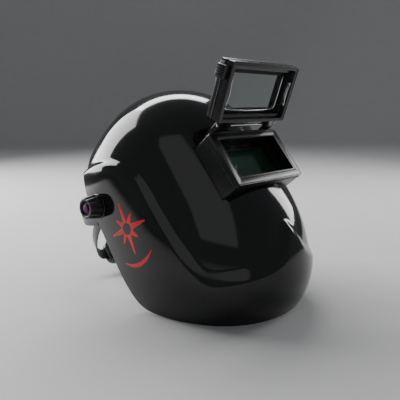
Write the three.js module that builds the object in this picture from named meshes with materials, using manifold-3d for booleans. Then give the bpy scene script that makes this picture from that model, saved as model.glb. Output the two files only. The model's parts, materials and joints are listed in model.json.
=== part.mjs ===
// Flip-front welding helmet: moulded face shell, lens housing with a hinged lid, and a ratchet headgear.
// Millimetres, +Z up. The helmet is drawn as it is worn (front faces -Y, wearer's right is -X), with the
// middle of the lens housing's front face at the worn origin, and then leans back as it does on a table.
import * as THREE from 'three';
import { mergeVertices } from 'three/addons/utils/BufferGeometryUtils.js';
import Module from 'manifold-3d';

// ---- driving dimensions -------------------------------------------------------------------------
const REST_LEAN = THREE.MathUtils.degToRad(39.2); // how far the worn helmet leans back on the table
const GAP = 0.35; // running and assembly gap between neighbouring pieces

const SHELL_CENTRE_Y = 130; // axis of the shell's level sections
const SHELL_WIDTH = 124; // half width over the raised ear panels
const SHELL_FRONT = 124; // section axis to the front
const SHELL_REAR = 190; // section axis to the virtual rear
const SECTION_POWER = 2.1; // slightly squarer than an ellipse
const DOME_BASE_Z = 60; // dome starts here
const DOME_HEIGHT = 117;
const CHIN_START_Z = -20; // below this the sections draw in to the chin
const CHIN_DEPTH = 162;
const JAW_STEP = 6; // how far the jaw and ear panels stand out
const JAW_BEVEL = 13; // width of the bevel beside them
const CHIN_LINE_Z = -122; // the jaw's upper edge across the front
const CHIN_PEAK = 38; // how far that edge rises in the middle
const CHIN_PEAK_HALF = 24;
const SHELL_WALL = 3.2;

const HOUSING_W = 130;
const HOUSING_H = 72;
const HOUSING_BACK = 46; // depth of the housing's tube
const WINDOW_W = 98;
const WINDOW_H = 48;
const TUNNEL_W = 108; // the opening in front of the plates' ledge
const TUNNEL_H = 51.6;
const LEDGE_T = 1.8;
const LENS_DEPTH = 18; // front face to the first plate
const PLATE_W = 108;
const PLATE_H = 50.8;

const HINGE_Y = -8.3;
const HINGE_Z = 39;
const LID_OPEN = THREE.MathUtils.degToRad(122);
const LID_T = 18;
const LID_LOW = -36;
const LID_TOP = 33;
const PIN_R = 1.6;
const EAR_X = 51;
const EAR_GAP = 0.4; // keeps the ears in front clear above the front face
const KNUCKLE_X = 41.5;

const PIVOT_Y = 165;
const PIVOT_Z = 48;
const BOSS_X = 124.4; // flat face of the shell's pivot boss
const BOSS_INNER_X = 117.2;
const BOSS_R = 15.5;
const BOLT_R = 4;

const HEADGEAR_TILT = THREE.MathUtils.degToRad(8.55); // headgear's swing at rest, rear up
const BAND_A = 88; // head band's half width
const BAND_B = 100; // its reach to the brow
const BAND_REAR = 108; // its reach to the nape
const BAND_Y = 15; // its centre behind the pivots
const BAND_T = 1.8;
const BAND_H = 15;
const NAPE = new THREE.Vector3(0, 120.1, -40);

// ---- materials ----------------------------------------------------------------------------------
const shellBlack = new THREE.MeshStandardMaterial({ color: 0x111214, roughness: 0.12, metalness: 0 });
const housingBlack = new THREE.MeshStandardMaterial({ color: 0x17181a, roughness: 0.38, metalness: 0 });
const knobGrey = new THREE.MeshStandardMaterial({ color: 0x2a2b2e, roughness: 0.45, metalness: 0 });
const bandGrey = new THREE.MeshStandardMaterial({ color: 0x4a4c50, roughness: 0.5, metalness: 0 });
const rubberBlack = new THREE.MeshStandardMaterial({ color: 0x0c0c0c, roughness: 0.9, metalness: 0 });
const steel = new THREE.MeshStandardMaterial({ color: 0xc4c6c8, roughness: 0.25, metalness: 1 });
const darkGlass = new THREE.MeshStandardMaterial({ color: 0x0c2a16, roughness: 0.05, metalness: 0 });
const clearPlastic = new THREE.MeshStandardMaterial({ color: 0xdfe8ea, roughness: 0.05, metalness: 0 });
const padFabric = new THREE.MeshStandardMaterial({ color: 0x1c1d20, roughness: 0.95, metalness: 0 });

// ---- booleans and small builders ----------------------------------------------------------------
const wasm = await Module();
wasm.setup();

function toSolid(geometry) {
  const bare = geometry.clone();
  bare.deleteAttribute('normal');
  bare.deleteAttribute('uv');
  const merged = mergeVertices(bare, 1e-4);
  return new wasm.Manifold(new wasm.Mesh({
    numProp: 3,
    vertProperties: new Float32Array(merged.attributes.position.array),
    triVerts: new Uint32Array(merged.index.array),
  }));
}

function toGeometry(solid) {
  const mesh = solid.getMesh();
  const geometry = new THREE.BufferGeometry();
  geometry.setAttribute('position', new THREE.BufferAttribute(mesh.vertProperties, 3));
  geometry.setIndex(new THREE.BufferAttribute(mesh.triVerts, 1));
  geometry.computeVertexNormals();
  return geometry;
}

function fuse(...geometries) {
  return toGeometry(geometries.map(toSolid).reduce((whole, piece) => whole.add(piece)));
}

function cut(geometry, ...tools) {
  return toGeometry(tools.map(toSolid).reduce((whole, piece) => whole.subtract(piece), toSolid(geometry)));
}

// outline of a rounded rectangle, as points in order
function roundedPoints(width, height, radius, arcSteps = 4, longSteps = 1, shortSteps = 1) {
  const points = [];
  const sides = [[1, 1, shortSteps], [-1, 1, longSteps], [-1, -1, shortSteps], [1, -1, longSteps]];
  sides.forEach(([sx, sz, steps], corner) => {
    const start = new THREE.Vector2(sx * (width / 2 - radius), sz * (height / 2 - radius));
    const arc = [];
    for (let i = 0; i <= arcSteps; i += 1) {
      const angle = (corner + i / arcSteps) * Math.PI / 2;
      arc.push(new THREE.Vector2(start.x + radius * Math.cos(angle), start.y + radius * Math.sin(angle)));
    }
    if (corner > 0) {
      const from = points[points.length - 1];
      for (let i = 1; i < steps; i += 1) points.push(from.clone().lerp(arc[0], i / steps));
    }
    points.push(...arc);
  });
  const last = points[points.length - 1];
  for (let i = 1; i < shortSteps; i += 1) points.push(last.clone().lerp(points[0], i / shortSteps));
  return points;
}

const roundedShape = (width, height, radius) => new THREE.Shape(roundedPoints(width, height, radius));

function ringShape(outer, inner) {
  const shape = roundedShape(...outer);
  shape.holes.push(new THREE.Path(roundedPoints(...inner)));
  return shape;
}

// a level-fronted slab: the shape lies in X and Z, between two depths measured backward from the front
function slab(shape, frontY, backY) {
  const geometry = new THREE.ExtrudeGeometry(shape, { depth: backY - frontY, bevelEnabled: false });
  return geometry.rotateX(Math.PI / 2).translate(0, backY, 0);
}

// a plate standing across X: the shape's first axis is Y, its second is Z
function sidePlate(shape, lowX, highX) {
  const geometry = new THREE.ExtrudeGeometry(shape, { depth: highX - lowX, bevelEnabled: false, curveSegments: 12 });
  return geometry.rotateZ(Math.PI / 2).rotateY(Math.PI / 2).translate(lowX, 0, 0);
}

function rodX(radius, lowX, highX, y = 0, z = 0, sides = 24) {
  const geometry = new THREE.CylinderGeometry(radius, radius, highX - lowX, sides);
  return geometry.rotateZ(Math.PI / 2).translate((lowX + highX) / 2, y, z);
}

function rodY(radius, lowY, highY, x = 0, z = 0, sides = 24) {
  const geometry = new THREE.CylinderGeometry(radius, radius, highY - lowY, sides);
  return geometry.translate(0, (lowY + highY) / 2, 0).translate(x, 0, z);
}

// a flat strap that follows a curve with its broad side along "across"
function strap(curve, across, width, thickness, steps) {
  const positions = [];
  const index = [];
  for (let i = 0; i <= steps; i += 1) {
    const at = curve.getPoint(i / steps);
    const tangent = curve.getTangent(i / steps);
    const side = across.clone().addScaledVector(tangent, -across.dot(tangent)).normalize();
    const out = new THREE.Vector3().crossVectors(tangent, side);
    for (const [s, o] of [[-1, -1], [1, -1], [1, 1], [-1, 1]]) {
      const corner = at.clone().addScaledVector(side, s * width / 2).addScaledVector(out, o * thickness / 2);
      positions.push(corner.x, corner.y, corner.z);
    }
  }
  for (let i = 0; i < steps; i += 1) {
    for (let k = 0; k < 4; k += 1) {
      const a = i * 4 + k;
      const b = i * 4 + (k + 1) % 4;
      index.push(a, b, b + 4, a, b + 4, a + 4);
    }
  }
  const end = steps * 4;
  index.push(0, 2, 1, 0, 3, 2, end, end + 1, end + 2, end, end + 2, end + 3);
  const geometry = new THREE.BufferGeometry();
  geometry.setAttribute('position', new THREE.Float32BufferAttribute(positions, 3));
  geometry.setIndex(index);
  if (signedVolume(positions, index) < 0) {
    for (let i = 0; i < index.length; i += 3) [index[i], index[i + 1]] = [index[i + 1], index[i]];
    geometry.setIndex(index);
  }
  return geometry;
}

function signedVolume(positions, index) {
  const corner = (i) => new THREE.Vector3().fromArray(positions, index[i] * 3);
  let volume = 0;
  for (let i = 0; i < index.length; i += 3) {
    volume += corner(i).dot(corner(i + 1).cross(corner(i + 2))) / 6;
  }
  return volume;
}

function mirrored(geometry) {
  return toGeometry(toSolid(geometry).mirror([1, 0, 0]));
}

function node(name, geometry, material, parent) {
  const mesh = new THREE.Mesh(geometry, material);
  mesh.name = name;
  parent.add(mesh);
  return mesh;
}

// ---- groups: the leaning helmet, its open lid and its tilted headgear ----------------------------
const helmet = new THREE.Group();
const worn = new THREE.Group();
worn.rotation.x = -REST_LEAN;
helmet.add(worn);

const lid = new THREE.Group();
lid.position.set(0, HINGE_Y, HINGE_Z);
lid.rotation.x = -LID_OPEN;
worn.add(lid);

const headgear = new THREE.Group();
headgear.position.set(0, PIVOT_Y, PIVOT_Z);
headgear.rotation.x = HEADGEAR_TILT;
worn.add(headgear);

// ---- face shell ---------------------------------------------------------------------------------
const smoothMax = (a, b, round) => (a + b + Math.hypot(a - b, round)) / 2;

// how full the level section at height z is, 0 to 1
function fullness(z) {
  if (z > DOME_BASE_Z) return Math.sqrt(Math.max(0, 1 - ((z - DOME_BASE_Z) / DOME_HEIGHT) ** 2));
  if (z > CHIN_START_Z) return 1;
  return Math.max(0, 1 - ((CHIN_START_Z - z) / CHIN_DEPTH) ** 2.4) ** 0.4;
}

function outsideShell(p) {
  const full = fullness(p.z);
  if (full <= 0) return true;
  const along = SHELL_CENTRE_Y - p.y;
  const reach = along > 0 ? SHELL_FRONT : SHELL_REAR;
  const sum = (Math.abs(p.x) / (SHELL_WIDTH * full)) ** SECTION_POWER
    + (Math.abs(along) / (reach * full)) ** SECTION_POWER;
  return sum > 1;
}

// 0 on the dome and front panel, 1 on the raised jaw and ear panels
function jawRise(p) {
  const up = Math.max(0, p.z) / 100;
  const earLine = 77 + 0.04 * Math.min(0, p.z) + 57 * up ** 3.7;
  const earSlope = 2.11 * up ** 2.7;
  const intoEar = (p.y - earLine) / Math.hypot(1, earSlope);
  const peak = CHIN_PEAK * Math.exp(-((p.x / CHIN_PEAK_HALF) ** 2));
  const chinLine = CHIN_LINE_Z + peak + 14 * (p.x / 90) ** 4;
  const chinSlope = (-2 * p.x / CHIN_PEAK_HALF ** 2) * peak + 56 * p.x ** 3 / 90 ** 4;
  const intoChin = (chinLine - p.z) / Math.hypot(1, chinSlope);
  const inside = smoothMax(intoEar, intoChin, 5) / JAW_BEVEL;
  return THREE.MathUtils.smoothstep(inside, 0, 1);
}

// depth of the rim behind the front, at height z
function rimY(z) {
  const rear = 186 - 0.08 * z;
  const lower = 103 + 1.236 * (z + 163);
  return -smoothMax(-rear, -lower, 20);
}

const SHELL_EYE = new THREE.Vector3(0, 110, 0);

function shellPoint(phi, psi, inset) {
  const ray = new THREE.Vector3(Math.sin(psi) * Math.cos(phi), -Math.cos(psi), Math.sin(psi) * Math.sin(phi));
  let near = 10;
  let far = 300;
  for (let i = 0; i < 30; i += 1) {
    const mid = (near + far) / 2;
    if (outsideShell(SHELL_EYE.clone().addScaledVector(ray, mid))) far = mid;
    else near = mid;
  }
  const rise = jawRise(SHELL_EYE.clone().addScaledVector(ray, near));
  return SHELL_EYE.clone().addScaledVector(ray, near - JAW_STEP * (1 - rise) - inset);
}

function solveAngle(low, high, isBeyond) {
  for (let i = 0; i < 24; i += 1) {
    const mid = (low + high) / 2;
    if (isBeyond(mid)) high = mid;
    else low = mid;
  }
  return low;
}

function shellGeometry() {
  const clear = 2 * GAP;
  const window = roundedPoints(HOUSING_W + clear, HOUSING_H + clear, 3, 3, 15, 9);
  const rings = 20;
  const count = window.length;
  const positions = [];
  for (const inset of [0, SHELL_WALL]) {
    for (const edge of window) {
      const phi = Math.atan2(edge.y, edge.x);
      const reach = edge.length();
      const first = solveAngle(0.05, 1.2, (psi) => {
        const p = shellPoint(phi, psi, inset);
        return Math.hypot(p.x, p.z) > reach;
      });
      const last = solveAngle(1.2, 2.6, (psi) => {
        const p = shellPoint(phi, psi, 0);
        return p.y > rimY(p.z);
      });
      for (let i = 0; i <= rings; i += 1) {
        const p = shellPoint(phi, first + (last - first) * i / rings, inset);
        positions.push(p.x, p.y, p.z);
      }
    }
  }
  const row = rings + 1;
  const inner = count * row;
  const index = [];
  const quad = (a, b, c, d) => index.push(a, b, c, a, c, d);
  for (let j = 0; j < count; j += 1) {
    const here = j * row;
    const next = ((j + 1) % count) * row;
    for (let i = 0; i < rings; i += 1) {
      quad(here + i, next + i, next + i + 1, here + i + 1);
      quad(inner + here + i, inner + here + i + 1, inner + next + i + 1, inner + next + i);
    }
    quad(here, inner + here, inner + next, next);
    quad(here + rings, next + rings, inner + next + rings, inner + here + rings);
  }
  if (signedVolume(positions, index) < 0) {
    for (let i = 0; i < index.length; i += 3) [index[i], index[i + 1]] = [index[i + 1], index[i]];
  }
  const geometry = new THREE.BufferGeometry();
  geometry.setAttribute('position', new THREE.Float32BufferAttribute(positions, 3));
  geometry.setIndex(index);
  return geometry;
}

const SCREW_X = 70.5;
const SCREW_Z = 31;
const FLANGE_Y = HOUSING_BACK - 1.2;
const SCREW_BOSS_FRONT = 38.5;
const screwPlaces = [[-1, -1], [1, -1], [1, 1], [-1, 1]].map(([sx, sz]) => [sx * SCREW_X, sz * SCREW_Z]);

let shell = toSolid(shellGeometry());
for (const side of [-1, 1]) {
  const low = Math.min(side * BOSS_INNER_X, side * BOSS_X);
  shell = shell.add(toSolid(rodX(BOSS_R, low, low + BOSS_X - BOSS_INNER_X, PIVOT_Y, PIVOT_Z, 36)));
  shell = shell.subtract(toSolid(rodX(BOLT_R + GAP, side * 120 - 15, side * 120 + 15, PIVOT_Y, PIVOT_Z)));
}
for (const [x, z] of screwPlaces) {
  shell = shell.add(toSolid(rodY(4.2, SCREW_BOSS_FRONT, FLANGE_Y - GAP, x, z, 16)));
  shell = shell.subtract(toSolid(rodY(1.9, SCREW_BOSS_FRONT + 1.5, FLANGE_Y, x, z, 12)));
}
node('face_shell', toGeometry(shell), shellBlack, worn);

// ---- lens housing and what it holds ---------------------------------------------------------------
const earProfile = new THREE.Shape([
  [14, HOUSING_H / 2 - 1], [14, HINGE_Z + 1], [11, HINGE_Z + 5], [HINGE_Y, HINGE_Z + 5],
  [HINGE_Y - 3.6, HINGE_Z + 3.6], [HINGE_Y - 5, HINGE_Z], [HINGE_Y - 3.6, HOUSING_H / 2 + EAR_GAP],
  [0, HOUSING_H / 2 + EAR_GAP], [0.5, HOUSING_H / 2 - 1],
].map(([y, z]) => new THREE.Vector2(y, z)));

const pocket = [PLATE_W + 1.6, PLATE_H + 1.6, 1.5];
const flangeHoles = screwPlaces.map(([x, z]) => rodY(2, FLANGE_Y - 2, FLANGE_Y + 6, x, z, 12));
const housing = cut(
  fuse(
    slab(ringShape([HOUSING_W, HOUSING_H, 3], [TUNNEL_W, TUNNEL_H, 3]), 0, LENS_DEPTH - LEDGE_T),
    slab(ringShape([HOUSING_W, HOUSING_H, 3], [WINDOW_W, WINDOW_H, 3]), LENS_DEPTH - LEDGE_T - 0.01, LENS_DEPTH),
    slab(ringShape([HOUSING_W, HOUSING_H, 3], pocket), LENS_DEPTH - 0.01, FLANGE_Y + 1),
    slab(ringShape([2 * SCREW_X + 11, 2 * SCREW_Z + 13, 4], pocket), FLANGE_Y, FLANGE_Y + 2.6),
    sidePlate(earProfile, -EAR_X - 3, -EAR_X + 3),
    sidePlate(earProfile, EAR_X - 3, EAR_X + 3),
  ),
  rodX(PIN_R + GAP, -EAR_X - 5, EAR_X + 5, HINGE_Y, HINGE_Z),
  ...flangeHoles,
);
node('lens_housing', housing, housingBlack, worn);

const plateShape = roundedShape(PLATE_W, PLATE_H, 1);
const gasketShape = ringShape([PLATE_W, PLATE_H, 1], [PLATE_W - 12, PLATE_H - 10, 2]);
const coverBack = LENS_DEPTH + GAP + 1.2;
const gasketBack = coverBack + GAP + 1.5;
const filterBack = gasketBack + GAP + 3.2;
node('outer_cover_plate', slab(plateShape, LENS_DEPTH + GAP, coverBack), clearPlastic, worn);
node('filter_gasket', slab(gasketShape, coverBack + GAP, gasketBack), rubberBlack, worn);
node('filter_plate', slab(plateShape, gasketBack + GAP, filterBack), darkGlass, worn);

// bent wire spring that pushes a stack of plates against the window lip
function wireSpring(halfWidth, halfHeight, y, bow) {
  const path = new THREE.CatmullRomCurve3([
    [-halfWidth, 0, -halfHeight], [-halfWidth, 0, halfHeight * 0.6], [-halfWidth * 0.8, 0, halfHeight],
    [0, bow, halfHeight], [halfWidth * 0.8, 0, halfHeight], [halfWidth, 0, halfHeight * 0.6],
    [halfWidth, 0, -halfHeight],
  ].map(([x, dy, z]) => new THREE.Vector3(x, y + dy, z)), false, 'catmullrom', 0.3);
  const wire = new THREE.Shape();
  wire.absarc(0, 0, 0.8, 0, Math.PI * 2);
  return new THREE.ExtrudeGeometry(wire, { steps: 26, curveSegments: 2, extrudePath: path });
}
node('filter_spring', wireSpring(50, 22, filterBack + 1.6, 4), steel, worn);

for (const [i, [x, z]] of screwPlaces.entries()) {
  const screw = fuse(
    rodY(1.5, SCREW_BOSS_FRONT + 2.2, FLANGE_Y + 4, x, z, 12),
    rodY(3.6, FLANGE_Y + 2.6 + GAP, FLANGE_Y + 4.8 + GAP, x, z, 16),
  );
  node(`housing_screw_${i + 1}`, screw, steel, worn);
}
node('hinge_pin', rodX(PIN_R, -EAR_X - 4.5, EAR_X + 4.5, HINGE_Y, HINGE_Z, 16), steel, worn);

// ---- lid, drawn closed around its hinge ------------------------------------------------------------
const lidHeight = LID_TOP - LID_LOW;
const lidMid = (LID_TOP + LID_LOW) / 2;
const lidFront = -0.8 - LID_T;
const lidWindowBack = lidFront + 3;
const lidStep = -5.5;
const knuckle = new THREE.Shape([
  [lidFront + 1, LID_TOP - 1], [HINGE_Y - 4.4, HINGE_Z], [HINGE_Y - 3.1, HINGE_Z + 3.1],
  [HINGE_Y, HINGE_Z + 4.4], [HINGE_Y + 3.1, HINGE_Z + 3.1], [HINGE_Y + 4.4, HINGE_Z], [-1.6, LID_TOP - 1],
].map(([y, z]) => new THREE.Vector2(y, z)));
const liftTab = roundedShape(9, 15, 2);
const lidFrame = cut(
  fuse(
    slab(ringShape([HOUSING_W, lidHeight, 3], [WINDOW_W, WINDOW_H, 3]), lidFront, lidWindowBack)
      .translate(0, 0, lidMid),
    slab(ringShape([HOUSING_W, lidHeight, 3], pocket), lidWindowBack - 0.01, lidStep).translate(0, 0, lidMid),
    slab(ringShape([HOUSING_W, lidHeight, 3], [PLATE_W + 10, lidHeight - 8, 3]), lidStep - 0.01, -0.8)
      .translate(0, 0, lidMid),
    slab(liftTab, lidFront + 3, -4).translate(-HOUSING_W / 2 - 3.5, 0, LID_LOW + 13),
    sidePlate(knuckle, -KNUCKLE_X - 5, -KNUCKLE_X + 5),
    sidePlate(knuckle, KNUCKLE_X - 5, KNUCKLE_X + 5),
  ),
  rodX(PIN_R + GAP, -EAR_X, EAR_X, HINGE_Y, HINGE_Z),
);
const aroundHinge = (geometry) => geometry.translate(0, -HINGE_Y, -HINGE_Z);
const lidPlateBack = lidWindowBack + GAP + 1.3;
const lidGasketBack = lidPlateBack + GAP + 1.4;
node('lid_frame', aroundHinge(lidFrame), housingBlack, lid);
const lidPlate = slab(plateShape, lidWindowBack + GAP, lidPlateBack).translate(0, 0, lidMid);
node('lid_cover_plate', aroundHinge(lidPlate), clearPlastic, lid);
const lidGasket = slab(gasketShape, lidPlateBack + GAP, lidGasketBack).translate(0, 0, lidMid);
node('lid_gasket', aroundHinge(lidGasket), rubberBlack, lid);
const lidSpring = wireSpring(50, 22, lidGasketBack + 1.6, 4).translate(0, 0, lidMid);
node('lid_spring', aroundHinge(lidSpring), steel, lid);

// ---- headgear: band, straps and pads, drawn around the pivots -------------------------------------
// a point of the head band at an angle from the front; the band dips towards the nape
function bandPoint(angle, spread = 0) {
  const dip = THREE.MathUtils.smoothstep(Math.abs(angle), 1.2, 2.7);
  const sine = Math.sin(angle);
  const cosine = Math.cos(angle);
  const z = 8 + dip * (NAPE.z - 8);
  if (cosine > 0) {
    return new THREE.Vector3((BAND_A + spread) * sine, BAND_Y - (BAND_B + spread) * cosine, z);
  }
  const x = (BAND_A + spread) * Math.sign(sine) * Math.sqrt(Math.abs(sine));
  return new THREE.Vector3(x, BAND_Y + (BAND_REAR + spread) * Math.sqrt(-cosine), z);
}

function bandCurve(low, high, spread, steps = 24, lift = 0) {
  const points = [];
  for (let i = 0; i <= steps; i += 1) {
    points.push(bandPoint(low + (high - low) * i / steps, spread).add(new THREE.Vector3(0, 0, lift)));
  }
  return new THREE.CatmullRomCurve3(points);
}

const UP = new THREE.Vector3(0, 0, 1);
const bandEnd = 2.84;
node('head_band', strap(bandCurve(-bandEnd, bandEnd, 0), UP, BAND_H, BAND_T, 56), bandGrey, headgear);
node('brow_pad', strap(bandCurve(-1.15, 1.15, -4.2, 16, 2), UP, 34, 5.4, 24), padFabric, headgear);

const occiputEnd = 1.71;
const occiputPoints = [];
for (let i = -8; i <= 8; i += 1) {
  const point = bandPoint(Math.PI - (i / 8) * (Math.PI - occiputEnd), 2.4);
  point.z = 26 - 29 * (i / 8) ** 2;
  occiputPoints.push(point);
}
const occiput = new THREE.CatmullRomCurve3(occiputPoints);
node('occiput_band', strap(occiput, UP, 14, BAND_T, 36), bandGrey, headgear);

// two crown straps that overlap on top of the head and are pinned together by a stud
const CROWN_HEIGHT = 84;
function crownCurve(side, from, to, spread) {
  const points = [];
  for (let i = 0; i <= 14; i += 1) {
    const angle = from + (to - from) * i / 14;
    points.push(new THREE.Vector3(
      side * (BAND_A + 1.2 + spread) * Math.cos(angle),
      BAND_Y,
      10 + (CROWN_HEIGHT + spread) * Math.sin(angle),
    ));
  }
  return new THREE.CatmullRomCurve3(points);
}
const FORE = new THREE.Vector3(0, 1, 0);
const overlap = Math.PI / 2 + 0.3;
const crownRight = strap(crownCurve(-1, -0.08, overlap, 1.9), FORE, 20, BAND_T, 28);
const crownLeft = strap(crownCurve(1, -0.08, overlap, 4.3), FORE, 20, BAND_T, 28);
const studBore = new THREE.CylinderGeometry(2.6 + GAP, 2.6 + GAP, 40, 16).rotateX(Math.PI / 2)
  .translate(0, BAND_Y, CROWN_HEIGHT + 12);
node('crown_strap_right', cut(crownRight, studBore), bandGrey, headgear);
node('crown_strap_left', cut(crownLeft, studBore), bandGrey, headgear);
const studTop = CROWN_HEIGHT + 10 + 4.3 + BAND_T / 2;
const stud = new THREE.LatheGeometry([
  [0, -7], [5, -7], [5, -5.4], [2.6, -5.4], [2.6, 0.4], [5.5, 0.4], [4.5, 2.2], [0, 2.6],
].map(([r, z]) => new THREE.Vector2(r, z)), 16).rotateX(Math.PI / 2).translate(0, BAND_Y, studTop);
node('crown_stud', stud, knobGrey, headgear);

// ---- pivots on both sides ---------------------------------------------------------------------------
const ARM_X = 108;
const armRight = () => {
  const path = new THREE.CatmullRomCurve3([
    [BAND_A + 3.2, -40], [BAND_A + 5, -34], [ARM_X - 5, -20], [ARM_X, -12], [ARM_X, 0], [ARM_X, 12],
    [ARM_X - 5, 22], [BAND_A + 6, 40], [BAND_A + 3, 50],
  ].map(([x, y]) => new THREE.Vector3(x, y, 0)), false, 'catmullrom', 0.4);
  const bow = strap(path, UP, 16, 2.4, 22);
  const pad = rodX(14, ARM_X - 1.2, ARM_X + 1.2, 0, 0, 28);
  return cut(fuse(bow, pad), rodX(BOLT_R + GAP, ARM_X - 5, ARM_X + 5));
};

// a stop disc with an arm that limits how far the helmet can drop
const stopOutline = new THREE.Shape();
stopOutline.absarc(0, 0, 14, -0.35, Math.PI * 2 - 0.75);
stopOutline.lineTo(23 * Math.cos(Math.PI * 2 - 0.65), 23 * Math.sin(Math.PI * 2 - 0.65));
stopOutline.lineTo(23 * Math.cos(0.45), -23 * Math.sin(0.45));
stopOutline.closePath();

const knobProfile = new THREE.Shape();
const FLUTES = 12;
for (let i = 0; i < FLUTES * 4; i += 1) {
  const angle = i * Math.PI * 2 / (FLUTES * 4);
  const radius = 14.6 + 0.9 * Math.cos(angle * FLUTES);
  const point = [radius * Math.cos(angle), radius * Math.sin(angle)];
  if (i === 0) knobProfile.moveTo(...point);
  else knobProfile.lineTo(...point);
}

const KNOB_BASE = BOSS_X + 1.9;
const KNOB_TOP = KNOB_BASE + 15.5;
const pieces = {
  side_arm: [armRight(), bandGrey],
  stop_disc: [
    cut(sidePlate(stopOutline, ARM_X + 2, BOSS_INNER_X - 1.8), rodX(BOLT_R + GAP, ARM_X, BOSS_X)), knobGrey],
  inner_washer: [
    cut(rodX(12, BOSS_INNER_X - 1.4, BOSS_INNER_X - 0.35), rodX(BOLT_R + GAP, ARM_X, BOSS_X)), rubberBlack],
  pivot_bolt: [fuse(
    rodX(BOLT_R, ARM_X - 3, KNOB_TOP - 5),
    rodX(7, ARM_X - 4.4, ARM_X - 1.6 - GAP),
  ), steel],
};
for (const [name, [geometry, material]] of Object.entries(pieces)) {
  node(`${name}_left`, geometry, material, headgear);
  node(`${name}_right`, mirrored(geometry), material, headgear);
}

const knob = cut(
  fuse(sidePlate(knobProfile, KNOB_BASE, KNOB_TOP - 1.2), rodX(12.6, KNOB_TOP - 1.3, KNOB_TOP, 0, 0, 36)),
  rodX(9.4, KNOB_TOP - 2.2, KNOB_TOP + 1, 0, 0, 32),
  rodX(BOLT_R + GAP, KNOB_BASE - 1, KNOB_TOP - 4.6),
);
const outerWasher = cut(rodX(13, BOSS_X + GAP, BOSS_X + 1.5, 0, 0, 28), rodX(BOLT_R + GAP, 100, 140));
const knobCap = rodX(5.2, KNOB_TOP - 2.2 + GAP, KNOB_TOP - 0.7, 0, 0, 20);
for (const [side, place] of [['left', (g) => g], ['right', mirrored]]) {
  node(`tension_knob_${side}`, place(knob), knobGrey, headgear);
  node(`knob_cap_${side}`, place(knobCap), steel, headgear);
  node(`outer_washer_${side}`, place(outerWasher), rubberBlack, headgear);
}
const stopLug = new THREE.BoxGeometry(9, 5, 6);
for (const side of [-1, 1]) {
  const name = side > 0 ? 'left' : 'right';
  const lug = stopLug.clone().translate(side * 114.4, PIVOT_Y - 3, PIVOT_Z - 26);
  node(`stop_lug_${name}`, lug, shellBlack, worn);
}

// ---- rear ratchet --------------------------------------------------------------------------------
const ratchet = new THREE.Group();
ratchet.position.copy(NAPE);
ratchet.rotation.x = -0.1;
headgear.add(ratchet);

const CASE_W = 104;
const CASE_H = 34;
const caseShape = () => roundedShape(CASE_W, CASE_H, 12);
const ratchetBase = slab(caseShape(), -6.5, -4.3);
const ratchetCover = cut(
  slab(caseShape(), -4, 5),
  slab(roundedShape(CASE_W - 5, CASE_H - 5, 9.5), -5, 2.6),
  rodY(3 + GAP, 0, 8),
  new THREE.BoxGeometry(10, 7.2, 18).translate(-CASE_W / 2, -0.7, 0),
  new THREE.BoxGeometry(10, 7.2, 18).translate(CASE_W / 2, -0.7, 0),
);
node('ratchet_base', ratchetBase, knobGrey, ratchet);
node('ratchet_cover', ratchetCover, knobGrey, ratchet);
node('nape_pad', slab(roundedShape(CASE_W + 8, CASE_H + 6, 14), -12.5, -6.9), padFabric, ratchet);

const MODULE = 1;
const PINION_TEETH = 12;
const PITCH_R = MODULE * PINION_TEETH / 2;
const TOOTH_STEP = Math.PI * MODULE;
const pinionShape = new THREE.Shape();
for (let i = 0; i < PINION_TEETH; i += 1) {
  const mid = i * Math.PI * 2 / PINION_TEETH;
  const corners = [[4.8, -0.2], [6.8, -0.045], [6.8, 0.045], [4.8, 0.2]];
  for (const [r, a] of corners) {
    const point = [r * Math.cos(mid + a), r * Math.sin(mid + a)];
    if (i === 0 && a === -0.2) pinionShape.moveTo(...point);
    else pinionShape.lineTo(...point);
  }
}
const pinion = fuse(slab(pinionShape, -3.4, 0.6), rodY(3, 0.5, 9));
node('ratchet_pinion', pinion, knobGrey, ratchet);

// a rack with its teeth pointing down (-1) or up (1), between two places along X
function rack(lowX, highX, teethWay) {
  const back = -teethWay * 12;
  const root = -teethWay * 7.3;
  const tip = -teethWay * 5.25;
  const outline = [[highX, back], [lowX, back], [lowX, root]];
  const first = Math.ceil((lowX + 1.2) / TOOTH_STEP - 0.5);
  for (let k = first; (k + 0.5) * TOOTH_STEP < highX - 1.2; k += 1) {
    const mid = (k + 0.5) * TOOTH_STEP;
    outline.push([mid - 0.95, root], [mid - 0.25, tip], [mid + 0.25, tip], [mid + 0.95, root]);
  }
  outline.push([highX, root]);
  return slab(new THREE.Shape(outline.map(([x, z]) => new THREE.Vector2(x, z))), -3.2, -0.4);
}
node('band_rack_right', rack(-46, 12, -1), bandGrey, ratchet);
node('band_rack_left', rack(-12, 46, 1), bandGrey, ratchet);

const ratchetKnobShape = new THREE.Shape();
const RATCHET_FLUTES = 16;
for (let i = 0; i < RATCHET_FLUTES * 4; i += 1) {
  const angle = i * Math.PI * 2 / (RATCHET_FLUTES * 4);
  const radius = 19 + 1 * Math.cos(angle * RATCHET_FLUTES);
  const point = [radius * Math.cos(angle), radius * Math.sin(angle)];
  if (i === 0) ratchetKnobShape.moveTo(...point);
  else ratchetKnobShape.lineTo(...point);
}
const ratchetKnob = cut(slab(ratchetKnobShape, 5.5, 20), rodY(3 + GAP, 5, 9.6), rodY(4, 17, 21));
node('ratchet_knob', ratchetKnob, knobGrey, ratchet);
node('ratchet_screw', rodY(3.4, 17.3, 19.4, 0, 0, 16), steel, ratchet);

// ---- stand the helmet on the ground plane, centred -------------------------------------------------
helmet.updateMatrixWorld(true);
const box = new THREE.Box3().setFromObject(helmet, true);
const centre = box.getCenter(new THREE.Vector3());
helmet.position.set(0, -centre.y, -box.min.z);

export default helmet;
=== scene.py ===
import json
import math
import bmesh
import bpy
import numpy as np
from mathutils import Matrix, Vector


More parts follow.
